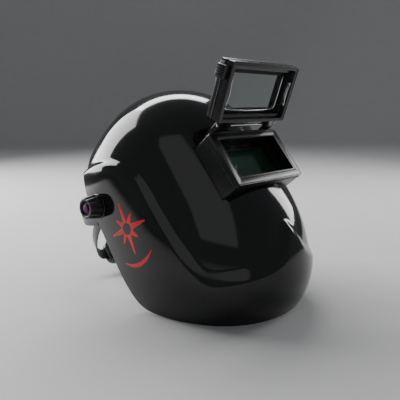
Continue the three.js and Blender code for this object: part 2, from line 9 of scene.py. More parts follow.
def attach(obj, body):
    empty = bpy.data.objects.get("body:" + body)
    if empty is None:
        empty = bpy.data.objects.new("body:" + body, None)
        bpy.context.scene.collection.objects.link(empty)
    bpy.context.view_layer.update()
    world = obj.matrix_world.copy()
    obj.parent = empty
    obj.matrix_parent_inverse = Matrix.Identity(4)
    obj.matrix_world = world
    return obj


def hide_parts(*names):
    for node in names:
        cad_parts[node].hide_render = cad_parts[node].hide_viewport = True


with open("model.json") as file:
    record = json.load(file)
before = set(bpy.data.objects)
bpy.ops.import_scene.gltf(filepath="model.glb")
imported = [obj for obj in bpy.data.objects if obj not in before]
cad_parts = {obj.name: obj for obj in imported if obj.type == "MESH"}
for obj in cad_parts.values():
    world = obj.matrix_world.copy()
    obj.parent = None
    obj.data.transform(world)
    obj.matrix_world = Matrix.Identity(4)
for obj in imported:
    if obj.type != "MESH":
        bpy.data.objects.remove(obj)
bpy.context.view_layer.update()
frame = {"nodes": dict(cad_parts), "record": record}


# ---- The helmet's own frame ---------------------------------------------------------------------------
# Everything is measured on the helmet as it is worn, from the middle of the lens housing's front face.
# It lies leaned back, so one turn and one shift carry worn sizes (millimetres) to where it rests.
REST_LEAN = math.radians(39.2)
HINGE_AT = Vector((0, -8.3, 39))
joints = {joint["name"]: joint for joint in frame["record"]["behaviour"]["joints"]}
joint_at = {name: Vector(joint["pos_m"]) for name, joint in joints.items() if "pos_m" in joint}
lean = Matrix.Rotation(-REST_LEAN, 4, "X") @ Matrix.Scale(0.001, 4)
WORN = Matrix.Translation(joint_at["lid_hinge"] - lean @ HINGE_AT) @ lean


# ---- Camera -------------------------------------------------------------------------------------------
# It stands a little above the lens housing, on the wearer's right front, and looks slightly down.
# The eye's place is in metres from the middle of the housing's front face.
EYE_FROM_LENS = Vector((-0.4918, -0.3591, 0.0601))
LOOK = Vector((0.7213, 0.6667, -0.1879))
camera = bpy.data.objects.new("camera", bpy.data.cameras.new("camera"))
bpy.context.scene.collection.objects.link(camera)
camera.location = WORN.translation + EYE_FROM_LENS
camera.rotation_euler = LOOK.to_track_quat("-Z", "Y").to_euler()
camera.data.lens = 45.2
bpy.context.scene.camera = camera


# ---- Face shell ---------------------------------------------------------------------------------------
# One deep moulding of glass-filled nylon in high-gloss black: a dome and front panel, with the jaw and
# ear panels standing 6 mm proud behind a bevel. The rim is trimmed and rounded.
SHELL_AXIS, SHELL_WIDE, SHELL_FRONT, SHELL_REAR, SQUARE = 130, 124, 124, 190, 2.1
DOME_BASE, DOME_HIGH, CHIN_START, CHIN_DEEP = 60, 117, -20, 162
JAW_STEP, JAW_BEVEL, SHELL_WALL = 6, 13, 3.2
CHIN_LINE, CHIN_PEAK, PEAK_HALF = -122, 38, 24
HOUSING_W, HOUSING_H = 130, 72
SHELL_EYE_Y = 110
AROUND, DOWN = 280, 118


def fullness(z):
    """How full the level section at height z is, from 0 to 1."""
    dome = np.sqrt(np.clip(1 - ((z - DOME_BASE) / DOME_HIGH) ** 2, 0, 1))
    chin = np.clip(1 - (np.clip(CHIN_START - z, 0, None) / CHIN_DEEP) ** 2.4, 0, 1) ** 0.4
    return np.where(z > DOME_BASE, dome, chin)


def smooth_max(a, b, rounding):
    return (a + b + np.hypot(a - b, rounding)) / 2


def outside_shell(x, y, z):
    """Whether a point lies outside the raised surface of the jaw and ear panels."""
    full = np.maximum(fullness(z), 1e-6)
    along = SHELL_AXIS - y
    reach = np.where(along > 0, SHELL_FRONT, SHELL_REAR)
    return (np.abs(x) / (SHELL_WIDE * full)) ** SQUARE + (np.abs(along) / (reach * full)) ** SQUARE > 1


def jaw_rise(x, y, z):
    """0 on the dome and front panel, 1 on the raised jaw and ear panels, with a soft bevel between."""
    up = np.clip(z, 0, None) / 100
    ear_line = 77 + 0.04 * np.clip(z, None, 0) + 57 * up ** 3.7
    into_ear = (y - ear_line) / np.hypot(1, 2.11 * up ** 2.7)
    peak = CHIN_PEAK * np.exp(-(x / PEAK_HALF) ** 2)
    chin_line = CHIN_LINE + peak + 14 * (x / 90) ** 4
    into_chin = (chin_line - z) / np.hypot(1, 56 * x ** 3 / 90 ** 4 - 2 * x / PEAK_HALF ** 2 * peak)
    t = np.clip(smooth_max(into_ear, into_chin, 5) / JAW_BEVEL, 0, 1)
    flat = np.clip((t - 0.08) / 0.84, 0, 1)
    return flat + 0.35 * (flat * flat * (3 - 2 * flat) - flat)


def rim_y(z):
    """How far behind the front the shell's rim lies at height z."""
    return -smooth_max(-(186 - 0.08 * z), -(103 + 1.236 * (z + 163)), 20)


def shell_point(phi, psi):
    """Where a ray from inside the shell meets its outer surface."""
    ray = np.stack([np.sin(psi) * np.cos(phi), -np.cos(psi), np.sin(psi) * np.sin(phi)])
    near = np.full_like(psi, 10.0)
    far = np.full_like(psi, 300.0)
    for _ in range(26):
        mid = (near + far) / 2
        beyond = outside_shell(ray[0] * mid, SHELL_EYE_Y + ray[1] * mid, ray[2] * mid)
        far = np.where(beyond, mid, far)
        near = np.where(beyond, near, mid)
    rise = jaw_rise(ray[0] * near, SHELL_EYE_Y + ray[1] * near, ray[2] * near)
    reach = near - JAW_STEP * (1 - rise)
    return ray[0] * reach, SHELL_EYE_Y + ray[1] * reach, ray[2] * reach


def halve(low, high, beyond):
    """The angle between low and high at which a ray passes an edge."""
    for _ in range(22):
        mid = (low + high) / 2
        past = beyond(mid)
        high = np.where(past, mid, high)
        low = np.where(past, low, mid)
    return low


def window_edge(turn):
    """A point on the housing's outline, by the fraction of the way round."""
    half_w, half_h = HOUSING_W / 2 + 0.3, HOUSING_H / 2 + 0.3
    way = (turn * 4 * (half_w + half_h) + half_h) % (4 * (half_w + half_h))
    legs = np.cumsum([2 * half_h, 2 * half_w, 2 * half_h, 2 * half_w])
    x = np.select([way < legs[0], way < legs[1], way < legs[2]],
                  [half_w, half_w - (way - legs[0]), -half_w], -half_w + (way - legs[2]))
    z = np.select([way < legs[0], way < legs[1], way < legs[2]],
                  [way - half_h, half_h, half_h - (way - legs[1])], -half_h)
    return x, z


def new_piece(name, bm, body, slot_name, *replaced):
    """Makes a piece of a finished shape that rides on a body and may stand for CAD nodes."""
    mesh = bpy.data.meshes.new(name)
    for face in bm.faces:
        face.smooth = True
    bm.to_mesh(mesh)
    bm.free()
    piece = bpy.data.objects.new(name, mesh)
    bpy.context.scene.collection.objects.link(piece)
    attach(piece, body)
    if replaced:
        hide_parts(*replaced)
    return piece


def round_edges(piece, width, segments=2, angle=35):
    """Gives a piece's sharp edges a small radius."""
    bevel = piece.modifiers.new("rounded edges", "BEVEL")
    bevel.width = width
    bevel.segments = segments
    bevel.limit_method = "ANGLE"
    bevel.angle_limit = math.radians(angle)
    bevel.harden_normals = True


bm = bmesh.new()
bmesh.ops.create_grid(bm, x_segments=AROUND, y_segments=DOWN, size=1)
grid = np.array([v.co[:] for v in bm.verts])
turn, down = (grid[:, 0] + 1) / 2, (grid[:, 1] + 1) / 2
edge_x, edge_z = window_edge(turn)
phi = np.arctan2(edge_z, edge_x)
reach = np.hypot(edge_x, edge_z)


def past_window(psi):
    x, _, z = shell_point(phi, psi)
    return np.hypot(x, z) > reach


def past_rim(psi):
    _, y, z = shell_point(phi, psi)
    return y > rim_y(z)


first = halve(np.full_like(phi, 0.05), np.full_like(phi, 1.2), past_window)
last = halve(np.full_like(phi, 1.2), np.full_like(phi, 2.6), past_rim)
spot = np.stack(shell_point(phi, first + (last - first) * down), axis=1)
for vert, place in zip(bm.verts, spot):
    vert.co = WORN @ Vector(place)
bmesh.ops.remove_doubles(bm, verts=bm.verts, dist=1e-5)
bmesh.ops.recalc_face_normals(bm, faces=bm.faces)
middle = WORN @ Vector((0, SHELL_EYE_Y, 0))
outward = sum((f.calc_center_median() - middle).dot(f.normal) for f in bm.faces)
if outward < 0:
    bmesh.ops.reverse_faces(bm, faces=bm.faces)
shell = new_piece("moulded_face_shell", bm, "shell", "shell_black", "face_shell")
wall = shell.modifiers.new("wall", "SOLIDIFY")
wall.thickness = SHELL_WALL * 0.001
wall.offset = -1
wall.use_even_offset = True
round_edges(shell, 0.0011, 3, 60)


def surface(name, colour, roughness, bump_scale, bump, wear, metallic=0.0, patch_scale=18.0, tint=0.25,
            gleam=0.5):
    """A moulded or turned surface: fine bump, patchy roughness and a slight change of colour."""
    material = bpy.data.materials.new(name)
    material.use_nodes = True
    nodes, links = material.node_tree.nodes, material.node_tree.links
    shader = nodes["Principled BSDF"]
    shader.inputs["Metallic"].default_value = metallic
    shader.inputs["Specular IOR Level"].default_value = gleam
    place = nodes.new("ShaderNodeTexCoord")
    patches = nodes.new("ShaderNodeTexNoise")
    patches.inputs["Scale"].default_value = patch_scale
    patches.inputs["Detail"].default_value = 6
    links.new(place.outputs["Object"], patches.inputs["Vector"])
    polish = nodes.new("ShaderNodeMapRange")
    polish.inputs["From Min"].default_value = 0.3
    polish.inputs["From Max"].default_value = 0.7
    polish.inputs["To Min"].default_value = max(0.02, roughness - wear)
    polish.inputs["To Max"].default_value = roughness + wear
    links.new(patches.outputs["Fac"], polish.inputs["Value"])
    links.new(polish.outputs["Result"], shader.inputs["Roughness"])
    shade = nodes.new("ShaderNodeValToRGB")
    shade.color_ramp.elements[0].position = 0.3
    shade.color_ramp.elements[1].position = 0.75
    shade.color_ramp.elements[0].color = (*[c * (1 - tint) for c in colour], 1)
    shade.color_ramp.elements[1].color = (*[c * (1 + tint) for c in colour], 1)
    links.new(patches.outputs["Fac"], shade.inputs["Fac"])
    links.new(shade.outputs["Color"], shader.inputs["Base Color"])
    grain = nodes.new("ShaderNodeTexNoise")
    grain.inputs["Scale"].default_value = bump_scale
    grain.inputs["Detail"].default_value = 3
    links.new(place.outputs["Object"], grain.inputs["Vector"])
    relief = nodes.new("ShaderNodeBump")
    relief.inputs["Strength"].default_value = bump
    relief.inputs["Distance"].default_value = 0.0004
    links.new(grain.outputs["Fac"], relief.inputs["Height"])
    links.new(relief.outputs["Normal"], shader.inputs["Normal"])
    return material


def paint(piece, material):
    """Gives a piece one finish in place of any that it has."""
    piece.data.materials.clear()
    piece.data.materials.append(material)


def repaint(material, *names):
    """Gives CAD nodes that stay as they are a finish."""
    for name in names:
        paint(frame["nodes"][name], material)


gloss_black = surface("high_gloss_black", (0.006, 0.0065, 0.006), 0.09, 90, 0.008, 0.03)
paint(shell, gloss_black)
repaint(gloss_black, "stop_lug_left", "stop_lug_right")


def turned(name, place, profile, body, slot_name, material, count=56):
    """A turned form about X: the closed profile is a list of (along, radius) points."""
    bm = bmesh.new()
    bmesh.ops.create_grid(bm, x_segments=count, y_segments=len(profile) - 1, size=1)
    for vert in bm.verts:
        angle = (vert.co.x + 1) * math.pi
        along, radius = profile[round((vert.co.y + 1) / 2 * (len(profile) - 1))]
        vert.co = Vector((along, radius * math.cos(angle), radius * math.sin(angle)))
    bmesh.ops.remove_doubles(bm, verts=bm.verts, dist=1e-4)
    bmesh.ops.recalc_face_normals(bm, faces=bm.faces)
    bmesh.ops.transform(bm, matrix=place, verts=bm.verts)
    piece = new_piece(name, bm, body, slot_name)
    round_edges(piece, 0.0005, 3, 40)
    paint(piece, material)


# the flat round seat that each tension knob turns on, and the four posts that take the housing's screws
PIVOT_Y, PIVOT_Z = 165, 48
SEAT_INNER, SEAT_OUTER, SEAT_BORE = 117.2, 124.4, 4.4
SCREW_X, SCREW_Z = 70.5, 31
POST_FRONT, POST_BACK, POST_BORE = 38.6, 44.4, 1.9
seat = [
    (SEAT_INNER, SEAT_BORE), (SEAT_INNER, 15.5), (SEAT_OUTER - 1.2, 15.9), (SEAT_OUTER, 15.2),
    (SEAT_OUTER, SEAT_BORE), (SEAT_INNER, SEAT_BORE),
]
post = [
    (POST_FRONT, POST_BORE), (POST_FRONT, 4.6), (POST_BACK, 4.2), (POST_BACK, POST_BORE),
    (POST_FRONT, POST_BORE),
]
for side, outward in (("left", 1), ("right", -1)):
    turn_over = Matrix.Rotation((1 - outward) * math.pi / 2, 4, "Z")
    at_pivot = WORN @ Matrix.Translation((0, PIVOT_Y, PIVOT_Z)) @ turn_over
    turned(f"pivot_seat_{side}", at_pivot, seat, "shell", "shell_black", gloss_black)
    for level, up in (("upper", 1), ("lower", -1)):
        at_screw = Matrix.Translation((outward * SCREW_X, 0, up * SCREW_Z))
        at_post = WORN @ at_screw @ Matrix.Rotation(math.pi / 2, 4, "Z")
        turned(f"screw_post_{level}_{side}", at_post, post, "shell", "shell_black", gloss_black, 32)


# ---- Lens housing -------------------------------------------------------------------------------------
# An injection-moulded nylon box pushed through the shell's window from inside, with a flange behind,
# hinge ears on top and a double raised lip that the lid closes on.
def softened_copy(node, name, body, slot_name, material, width, segments, clean=True):
    """A CAD solid's shape, joined up and given the small radii that moulded and turned parts have."""
    bm = bmesh.new()
    bm.from_mesh(frame["nodes"][node].data)
    bmesh.ops.remove_doubles(bm, verts=bm.verts, dist=1e-5)
    if clean:
        bmesh.ops.dissolve_limit(bm, angle_limit=math.radians(1.0), verts=bm.verts, edges=bm.edges)
    piece = new_piece(name, bm, body, slot_name, node)
    round_edges(piece, width, segments)
    paint(piece, material)


def outline(bm, width, height, radius, depth, mid_z):
    """The edge loop of a rounded rectangle standing across the lens axis."""
    steps = 5
    verts = []
    for corner, (sx, sz) in enumerate([(1, 1), (-1, 1), (-1, -1), (1, -1)]):
        for i in range(steps + 1):
            angle = (corner + i / steps) * math.pi / 2
            x = sx * (width / 2 - radius) + radius * math.cos(angle)
            z = sz * (height / 2 - radius) + radius * math.sin(angle) + mid_z
            verts.append(bm.verts.new((x, depth, z)))
    return [bm.edges.new((a, b)) for a, b in zip(verts, verts[1:] + verts[:1])]


def lip(name, place, outer, inner, front, back, body, mid_z=0.0):
    """A raised frame between two rounded rectangles, from its front to its back depth."""
    bm = bmesh.new()
    loops = outline(bm, *outer, front, mid_z) + outline(bm, *inner, front, mid_z)
    face_ring = bmesh.ops.bridge_loops(bm, edges=loops)["faces"]
    pushed = bmesh.ops.extrude_face_region(bm, geom=face_ring)["geom"]
    for vert in [g for g in pushed if isinstance(g, bmesh.types.BMVert)]:
        vert.co.y = back
    bmesh.ops.recalc_face_normals(bm, faces=bm.faces)
    bmesh.ops.transform(bm, matrix=place, verts=bm.verts)
    piece = new_piece(name, bm, body, "housing_black")
    round_edges(piece, 0.0004, 2, 40)
    paint(piece, nylon_black)


nylon_black = surface("moulded_nylon_black", (0.009, 0.0095, 0.009), 0.27, 600, 0.02, 0.05, gleam=0.36)
softened_copy("lens_housing", "lens_housing_box", "shell", "housing_black", nylon_black, 0.0009, 3)
lip("housing_outer_lip", WORN, (HOUSING_W - 0.6, HOUSING_H - 0.6, 3),
    (HOUSING_W - 3.8, HOUSING_H - 3.8, 2), -0.35, 0.4, "shell")
lip("housing_window_lip", WORN, (111.4, 55.0, 3), (107.5, 51.1, 2.8), -0.3, 2.0, "shell")
lip("housing_side_rib", WORN, (HOUSING_W + 1, HOUSING_H + 1, 3),
    (HOUSING_W - 0.4, HOUSING_H - 0.4, 3), 5.2, 7.0, "shell")


# ---- Filter, cover plates and gaskets -----------------------------------------------------------------
# The dark green filter glass sits behind a clear polycarbonate cover plate in the housing; the open lid
# holds a second clear plate. Rubber frames seal them and bent spring wires press the stacks forward.
def glazing(name, colour, roughness, transmission, ior, tint):
    """A plate that light passes through: glass or clear plastic."""
    material = surface(name, colour, roughness, 60, 0.01, 0.015, tint=tint)
    shader = material.node_tree.nodes["Principled BSDF"]
    shader.inputs["Transmission Weight"].default_value = transmission
    shader.inputs["IOR"].default_value = ior
    return material


filter_glass = glazing("green_filter_glass", (0.012, 0.075, 0.035), 0.05, 0.35, 1.52, 0.3)
clear_sheet = glazing("clear_polycarbonate", (0.93, 0.96, 0.95), 0.03, 1.0, 1.05, 0.02)
rubber = surface("gasket_rubber", (0.012, 0.012, 0.012), 0.75, 700, 0.25, 0.1)
repaint(filter_glass, "filter_plate")
repaint(clear_sheet, "outer_cover_plate", "lid_cover_plate")
repaint(rubber, "filter_gasket", "lid_gasket", "inner_washer_left", "inner_washer_right",
        "outer_washer_left", "outer_washer_right")
steel = surface("bright_steel", (0.62, 0.63, 0.64), 0.24, 500, 0.06, 0.1, metallic=1.0)


def wire(name, place, points, radius, body, *replaced):
    """Spring wire bent through points, as a smooth closed tube."""
    curve = bpy.data.curves.new(name, "CURVE")
    curve.dimensions = "3D"
    curve.bevel_depth = radius
    curve.bevel_resolution = 4
    curve.use_fill_caps = True
    spline = curve.splines.new("NURBS")
    spline.points.add(len(points) - 1)
    for point, spot in zip(spline.points, points):
        point.co = (*spot, 1)
    spline.order_u = 3
    spline.use_endpoint_u = True
    spline.resolution_u = 8
    shaped = bpy.data.objects.new(name + "_path", curve)
    bpy.context.scene.collection.objects.link(shaped)
    bm = bmesh.new()
    bm.from_mesh(shaped.to_mesh())
    bpy.data.objects.remove(shaped)
    bmesh.ops.transform(bm, matrix=place, verts=bm.verts)
    bmesh.ops.remove_doubles(bm, verts=bm.verts, dist=1e-6)
    bmesh.ops.recalc_face_normals(bm, faces=bm.faces)
    piece = new_piece(name, bm, body, "steel", *replaced)
    paint(piece, steel)


SPRING_X, SPRING_Z, SPRING_BOW, WIRE_R = 50, 22, 4, 0.8


def spring_points(depth, mid_z):
    """The route of a retaining spring: up one side, bowed across the top and down the other side."""
    right = [
        (SPRING_X, depth, -SPRING_Z), (SPRING_X, depth, 8), (SPRING_X, depth, SPRING_Z - 2),
        (SPRING_X - 6, depth, SPRING_Z), (22, depth + 2.5, SPRING_Z),
    ]
    loop = right + [(0, depth + SPRING_BOW, SPRING_Z)] + [(-x, y, z) for x, y, z in reversed(right)]
    return [(x, y, z + mid_z) for x, y, z in loop]


LID_OPEN = math.radians(122)
swing = Matrix.Rotation(-LID_OPEN, 4, "X")
LID = WORN @ (Matrix.Translation(HINGE_AT) @ swing @ Matrix.Translation(-HINGE_AT))
LID_MID = -1.5
wire("filter_retaining_spring", WORN, spring_points(26.85, 0), WIRE_R, "shell", "filter_spring")
wire("lid_retaining_spring", LID, spring_points(-10.8, LID_MID), WIRE_R, "lid", "lid_spring")


def sheet_steel(name, bm, place, body):
    """Carries a leaf drawn in worn millimetres to its place and gives it the thickness of spring steel."""
    bmesh.ops.recalc_face_normals(bm, faces=bm.faces)
    bmesh.ops.transform(bm, matrix=place, verts=bm.verts)
    piece = new_piece(name, bm, body, "steel")
    leaf = piece.modifiers.new("leaf", "SOLIDIFY")
    leaf.thickness = 0.0006
    leaf.offset = 0
    paint(piece, steel)


def spring_clip(name, place, x, depth, mid_z, body):
    """A short bright leaf with curled ends that snaps into the side wall and holds the plates."""
    bm = bmesh.new()
    bmesh.ops.create_grid(bm, x_segments=24, y_segments=3, size=1)
    for vert in bm.verts:
        along, across = vert.co.x, vert.co.y
        bow = 2.4 * (1 - along ** 2) + 1.2 * max(0, abs(along) - 0.8) / 0.2
        vert.co = Vector((x - math.copysign(bow, x), depth + across * 2.7, mid_z + along * 15))
    sheet_steel(name, bm, place, body)


LID_CLIP_X, LID_CLIP_DEPTH = 58.2, -4.3
spring_clip("lid_plate_clip_left", LID, LID_CLIP_X, LID_CLIP_DEPTH, LID_MID, "lid")
spring_clip("lid_plate_clip_right", LID, -LID_CLIP_X, LID_CLIP_DEPTH, LID_MID, "lid")

# a tongue on the housing's ledge: flat for most of its length, then curled forward at its free end
TONGUE_FLAT, TONGUE_LONG, TONGUE_CURL = 0.62, 19, 2.1
bm = bmesh.new()
bmesh.ops.create_grid(bm, x_segments=28, y_segments=3, size=1)
for vert in bm.verts:
    along, across = (vert.co.x + 1) / 2, vert.co.y
    curl = max(0, along - TONGUE_FLAT) / (1 - TONGUE_FLAT) * 2.6
    x = -53.4 + TONGUE_LONG * min(along, TONGUE_FLAT) / TONGUE_FLAT + TONGUE_CURL * math.sin(curl)
    depth = 15.6 - TONGUE_CURL * (1 - math.cos(curl))
    vert.co = Vector((x, depth, -4.5 + across * (2.9 - 0.6 * along)))
sheet_steel("housing_plate_clip", bm, WORN, "shell")


# ---- Screws and hinge pin -----------------------------------------------------------------------------
# Four pan-head screws clamp the housing's flange to the posts inside the shell. A straight steel pin runs
# through the housing's ears and the lid's knuckles and carries the lid.
for number in range(1, 5):
    softened_copy(f"housing_screw_{number}", f"pan_head_screw_{number}", "shell", "steel", steel, 0.0004, 2)
softened_copy("hinge_pin", "lid_hinge_pin", "shell", "steel", steel, 0.0004, 2)


# ---- Lid ----------------------------------------------------------------------------------------------
# The flip-up front: a shallow nylon frame on two knuckles, with a lift tab on the wearer's right and
# stepped rims inside that take the plate, its gasket and the spring.
LID_H = 69
LID_FRONT = -19.4
softened_copy("lid_frame", "flip_up_lid", "lid", "housing_black", nylon_black, 0.0009, 3)
lip("lid_back_lip", LID, (HOUSING_W - 0.8, LID_H - 0.8, 3), (HOUSING_W - 3.6, LID_H - 3.6, 2.5),
    -1.2, -0.45, "lid", LID_MID)
lip("lid_window_lip", LID, (103, 53, 3), (97.5, 47.5, 2), LID_FRONT, LID_FRONT + 2, "lid", LID_MID)
lip("lid_front_lip", LID, (HOUSING_W - 0.8, LID_H - 0.8, 3), (HOUSING_W - 4.6, LID_H - 4.6, 2.5),
    LID_FRONT, LID_FRONT + 1.2, "lid", LID_MID)
lip("lid_side_rib", LID, (HOUSING_W + 1, LID_H + 1, 3), (HOUSING_W - 0.4, LID_H - 0.4, 3),
    -12.6, -10.8, "lid", LID_MID)
RIDGE_SIZE = (1.2, 10.0, 1.3)
TAB_X, TAB_DEPTH, TAB_Z = -73.1, -9.9, -23
for number, step in enumerate((-4.5, -1.5, 1.5, 4.5), start=1):
    bm = bmesh.new()
    bmesh.ops.create_cube(bm, size=1)
    bmesh.ops.scale(bm, vec=RIDGE_SIZE, verts=bm.verts)
    bmesh.ops.translate(bm, vec=(TAB_X, TAB_DEPTH, TAB_Z + step), verts=bm.verts)
    bmesh.ops.bevel(bm, geom=bm.edges[:], offset=0.35, segments=2, profile=0.5, affect="EDGES", material=-1)
    bmesh.ops.transform(bm, matrix=LID, verts=bm.verts)
    ridge = new_piece(f"lift_tab_ridge_{number}", bm, "lid", "housing_black")
    paint(ridge, nylon_black)


# ---- Tension knobs ------------------------------------------------------------------------------------
# Moulded knobs on the pivot bolts, one each side: twelve deep finger flutes, a slight taper outward and
# a dished face with a steel cap over the bolt's end.
knob_plastic = surface("knob_satin_black", (0.026, 0.027, 0.028), 0.37, 600, 0.03, 0.06)
BASE_X, TOP_X = 126.3, 141.8


def fluted_knob(name, place, base, top, radius, depth, flutes, dish, taper, body, replaced):
    """A fluted knob turned about X: rings of points from its base over its rim and down into its dish."""
    # each ring: its place along X, its share of the radius and its share of the flutes' depth
    profile = [
        (base, 0.80, 0), (base, 0.97, 0.4), (base + 0.8, 1.0, 1),
        (base + (top - base) * 0.45, 1 - taper * 0.4, 1), (top - 2.6, 1 - taper, 1),
        (top - 0.9, 0.965 - taper, 0.7), (top, 0.87 - taper, 0.15), (top, 0.76 - taper, 0),
        (top - 0.7, 0.715 - taper, 0), (top - dish, 0.69 - taper, 0),
        (top - dish, 0.46, 0), (top - dish + 0.5, 0.43, 0), (top - dish + 0.5, 0.30, 0),
    ]
    count = flutes * 12
    bm = bmesh.new()
    bmesh.ops.create_grid(bm, x_segments=count, y_segments=len(profile) - 1, size=1)
    for vert in bm.verts:
        angle = (vert.co.x + 1) * math.pi
        along, share, fluted = profile[round((vert.co.y + 1) / 2 * (len(profile) - 1))]
        wave = (0.5 + 0.5 * math.cos(angle * flutes)) ** 0.6
        reach = radius * share - depth * fluted * (1 - wave)
        vert.co = Vector((along, reach * math.cos(angle), reach * math.sin(angle)))
    bmesh.ops.remove_doubles(bm, verts=bm.verts, dist=1e-4)
    ends = [e for e in bm.edges if e.is_boundary]
    bmesh.ops.holes_fill(bm, edges=ends, sides=0)
    bmesh.ops.recalc_face_normals(bm, faces=bm.faces)
    bmesh.ops.transform(bm, matrix=place, verts=bm.verts)
    piece = new_piece(name, bm, body, "knob_plastic", replaced)
    round_edges(piece, 0.0003, 2, 50)
    paint(piece, knob_plastic)


HEADGEAR_TILT = math.radians(8.55)
PIVOTS = Matrix.Translation(joint_at["headgear_pivot"]) @ Matrix.Rotation(HEADGEAR_TILT - REST_LEAN, 4, "X")
PIVOTS = PIVOTS @ Matrix.Scale(0.001, 4)
# the violet in the bolt caps' metal colour is a painted magenta highlight, not a colour the cap has
cap_painted_highlight = surface("cap_painted_magenta_highlight", (0.10, 0.018, 0.085), 0.27, 500, 0.03, 0.06, metallic=0.9)
for side, turn_over in (("left", Matrix.Identity(4)), ("right", Matrix.Rotation(math.pi, 4, "Z"))):
    place = PIVOTS @ turn_over
    body = f"{side}_knob"
    fluted_knob(f"fluted_knob_{side}", place, BASE_X, TOP_X, radius=15.5, depth=1.9, flutes=12, dish=3.0,
                taper=0.10, body=body, replaced=f"tension_knob_{side}")
    softened_copy(f"knob_cap_{side}", f"bolt_cap_{side}", body, "steel", cap_painted_highlight, 0.0005, 3)
for side in ("left", "right"):
    disc = f"angle_stop_{side}"
    softened_copy(f"stop_disc_{side}", disc, "headgear", "knob_plastic", knob_plastic, 0.0004, 2)
repaint(steel, "pivot_bolt_left", "pivot_bolt_right")


# ---- Head band, straps and side arms ------------------------------------------------------------------
# Moulded polyethylene straps in dark grey. The band runs round the brow and dips to the nape; a second
# band cups the back of the head and two crown straps are pinned by a stud. The arms bow out to the pivots.
strap_grey = surface("strap_polyethylene", (0.085, 0.088, 0.095), 0.42, 600, 0.12, 0.08)
for node, name in (("head_band", "brow_and_nape_band"), ("occiput_band", "rear_band"),
                   ("crown_strap_left", "left_crown_strap"), ("crown_strap_right", "right_crown_strap"),
                   ("side_arm_left", "left_side_arm"), ("side_arm_right", "right_side_arm")):
    softened_copy(node, name, "headgear", "band_plastic", strap_grey, 0.0005, 2, clean=False)
softened_copy("crown_stud", "crown_strap_stud", "headgear", "knob_plastic", knob_plastic, 0.0005, 3)


# ---- Rear ratchet -------------------------------------------------------------------------------------
# A two-part nylon case holds the toothed ends of the band. A fluted dial turns a pinion between the two
# racks, which draws both ends in together.
_, axis_y, axis_z = joints["ratchet_turn"]["axis"]
RATCHET = Matrix.Translation(joint_at["ratchet_turn"])
RATCHET = RATCHET @ Matrix.Rotation(math.atan2(axis_z, axis_y), 4, "X") @ Matrix.Scale(0.001, 4)
dial_place = RATCHET @ Matrix.Rotation(math.pi / 2, 4, "Z")
fluted_knob("ratchet_dial_knob", dial_place, 5.6, 20, radius=20, depth=1.6, flutes=16, dish=2.2,
            taper=0.05, body="ratchet_dial", replaced="ratchet_knob")
for node, name in (("ratchet_cover", "ratchet_case_cover"), ("ratchet_base", "ratchet_case_base")):
    softened_copy(node, name, "headgear", "knob_plastic", knob_plastic, 0.0012, 3)
repaint(knob_plastic, "ratchet_pinion")
repaint(strap_grey, "band_rack_left", "band_rack_right")
softened_copy("ratchet_screw", "ratchet_dial_screw", "ratchet_dial", "steel", steel, 0.0004, 2)


# ---- Pads ---------------------------------------------------------------------------------------------
# The sweatband round the brow and the cushion at the nape: open-cell foam in a brushed black knit.
# Each is drawn in a little and then swells as a filled cover does.
pad_knit = surface("brushed_knit", (0.022, 0.022, 0.025), 0.92, 1500, 0.5, 0.05, patch_scale=40)
pad_shader = pad_knit.node_tree.nodes["Principled BSDF"]
pad_shader.inputs["Sheen Weight"].default_value = 0.4
pad_shader.inputs["Sheen Roughness"].default_value = 0.5


def settle(piece):
    """Fixes what the modifiers have made of a piece into its mesh."""
    shaped = bpy.data.meshes.new_from_object(piece.evaluated_get(bpy.context.evaluated_depsgraph_get()))
    piece.modifiers.clear()
    piece.data = shaped


def inflated_pad(node, name, voxel, shrink, swell):
    """A padded form: the CAD solid drawn in, remeshed and blown up as cloth, by no more than its swell."""
    bm = bmesh.new()
    bm.from_mesh(frame["nodes"][node].data)
    bmesh.ops.remove_doubles(bm, verts=bm.verts, dist=1e-5)
    piece = new_piece(name, bm, "headgear", "pad_fabric", node)
    draw_in = piece.modifiers.new("draw in", "DISPLACE")
    draw_in.strength = -shrink
    draw_in.mid_level = 0
    remesh = piece.modifiers.new("remesh", "REMESH")
    remesh.mode = "VOXEL"
    remesh.voxel_size = voxel
    settle(piece)
    rest = np.array([v.co[:] for v in piece.data.vertices])
    cloth = piece.modifiers.new("foam", "CLOTH")
    cloth.settings.use_pressure = True
    cloth.settings.uniform_pressure_force = 4
    cloth.settings.effector_weights.gravity = 0
    for step in range(1, 21):
        bpy.context.scene.frame_set(step)
    settle(piece)
    grown = np.array([v.co[:] for v in piece.data.vertices])
    move = grown - rest
    length = np.linalg.norm(move, axis=1, keepdims=True)
    move *= np.minimum(1, swell / np.maximum(length, 1e-9))
    for vert, spot in zip(piece.data.vertices, rest + move):
        vert.co = spot
    smooth = piece.modifiers.new("surface", "SUBSURF")
    smooth.levels = smooth.render_levels = 1
    for face in piece.data.polygons:
        face.use_smooth = True
    paint(piece, pad_knit)


inflated_pad("brow_pad", "sweatband", 0.0018, 0.0008, 0.0012)
inflated_pad("nape_pad", "nape_cushion", 0.0022, 0.0008, 0.0014)


# ---- Printed mark -------------------------------------------------------------------------------------
# A plain burst of eight tapered rays over a curved stroke, printed in red on the right ear panel.
# The ink is a thin film that follows the panel's curve.
mark_red = surface("printed_red", (0.62, 0.004, 0.008), 0.32, 500, 0.02, 0.06)
MARK_Y, MARK_Z = 131, -4
RAY_ROOT, RAY_LONG, RAY_SHORT, RAY_STEPS = 7, 32, 21, 10
SWEEP_R, SWEEP_STEPS = 45, 24
INK_PROUD = 0.12


